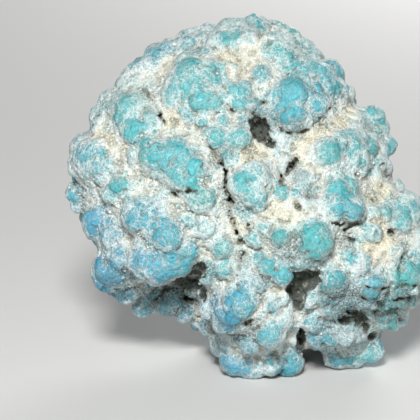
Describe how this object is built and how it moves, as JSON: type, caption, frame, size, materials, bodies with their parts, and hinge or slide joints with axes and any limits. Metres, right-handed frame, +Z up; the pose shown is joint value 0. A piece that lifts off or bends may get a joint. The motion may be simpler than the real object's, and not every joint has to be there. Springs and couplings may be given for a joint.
{
  "type": "botryoidal turquoise nodule",
  "caption": "Loose botryoidal turquoise nodule: rounded teal and blue lobes with cream granular matrix between them, a rough specimen that rests on its own lobes.",
  "frame": {"origin": "middle of the stone's footprint box, on the surface that it rests on", "axes": "+Z up, -Y towards the side that the picture shows, +X to the right of that side"},
  "size_m": [0.0884, 0.065, 0.0829],
  "materials": {
    "turquoise": "matt, finely granular, smoother on the crowns of the lobes"
  },
  "bodies": {
    "root": {"turquoise_nodule": "turquoise"}
  },
  "joints": []
}
